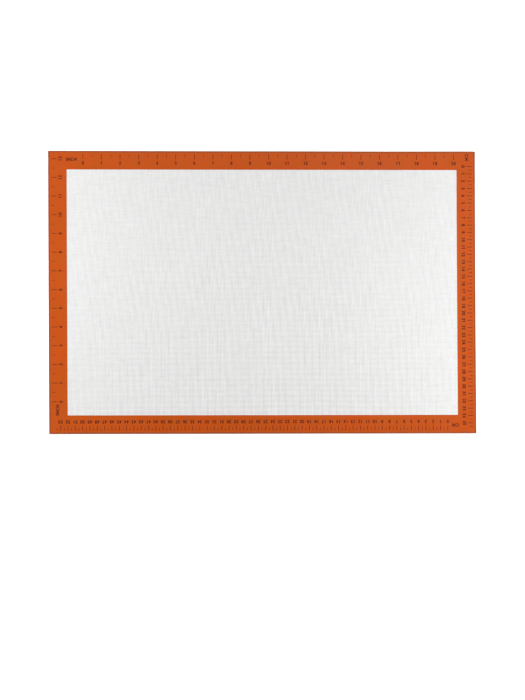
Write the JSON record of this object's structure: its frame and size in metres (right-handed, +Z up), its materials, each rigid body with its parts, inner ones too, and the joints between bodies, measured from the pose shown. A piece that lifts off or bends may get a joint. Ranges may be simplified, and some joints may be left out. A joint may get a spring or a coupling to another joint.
{
  "type": "silicone baking mat",
  "caption": "Flat rectangular silicone-coated glass cloth baking mat with a pale woven window, an orange border printed with inch and centimetre scales, and sealed edges.",
  "frame": {"origin": "middle of the mat's underside", "axes": "+X along the mat's length, +Y across it towards the long side with the inch scale, +Z up out of the printed face"},
  "size_m": [0.585, 0.385, 0.0008],
  "materials": {
    "silicone": "translucent satin silicone over a white woven cloth",
    "glass_cloth": "plain woven glass fibre yarn",
    "border_ink": "orange silicone ink, satin, with the weave showing through",
    "edge_seal": "brown orange silicone bead, satin",
    "scale_ink": "dark brown silicone ink, satin"
  },
  "bodies": {
    "root": {"bottom_silicone_coat": "silicone", "glass_cloth": "glass_cloth", "top_silicone_coat": "silicone", "border_print": "border_ink", "edge_seal_back": "edge_seal", "edge_seal_left": "edge_seal", "edge_seal_front": "edge_seal", "edge_seal_right": "edge_seal", "inch_marks_back": "scale_ink", "inch_half_marks_back": "scale_ink", "inch_numbers_back": "scale_ink", "inch_word_back": "scale_ink", "inch_marks_left": "scale_ink", "inch_half_marks_left": "scale_ink", "inch_numbers_left": "scale_ink", "inch_word_left": "scale_ink", "cm_marks_front": "scale_ink", "cm_half_marks_front": "scale_ink", "cm_numbers_front": "scale_ink", "cm_word_front": "scale_ink", "cm_marks_right": "scale_ink", "cm_half_marks_right": "scale_ink", "cm_numbers_right": "scale_ink", "cm_word_right": "scale_ink"}
  },
  "joints": []
}
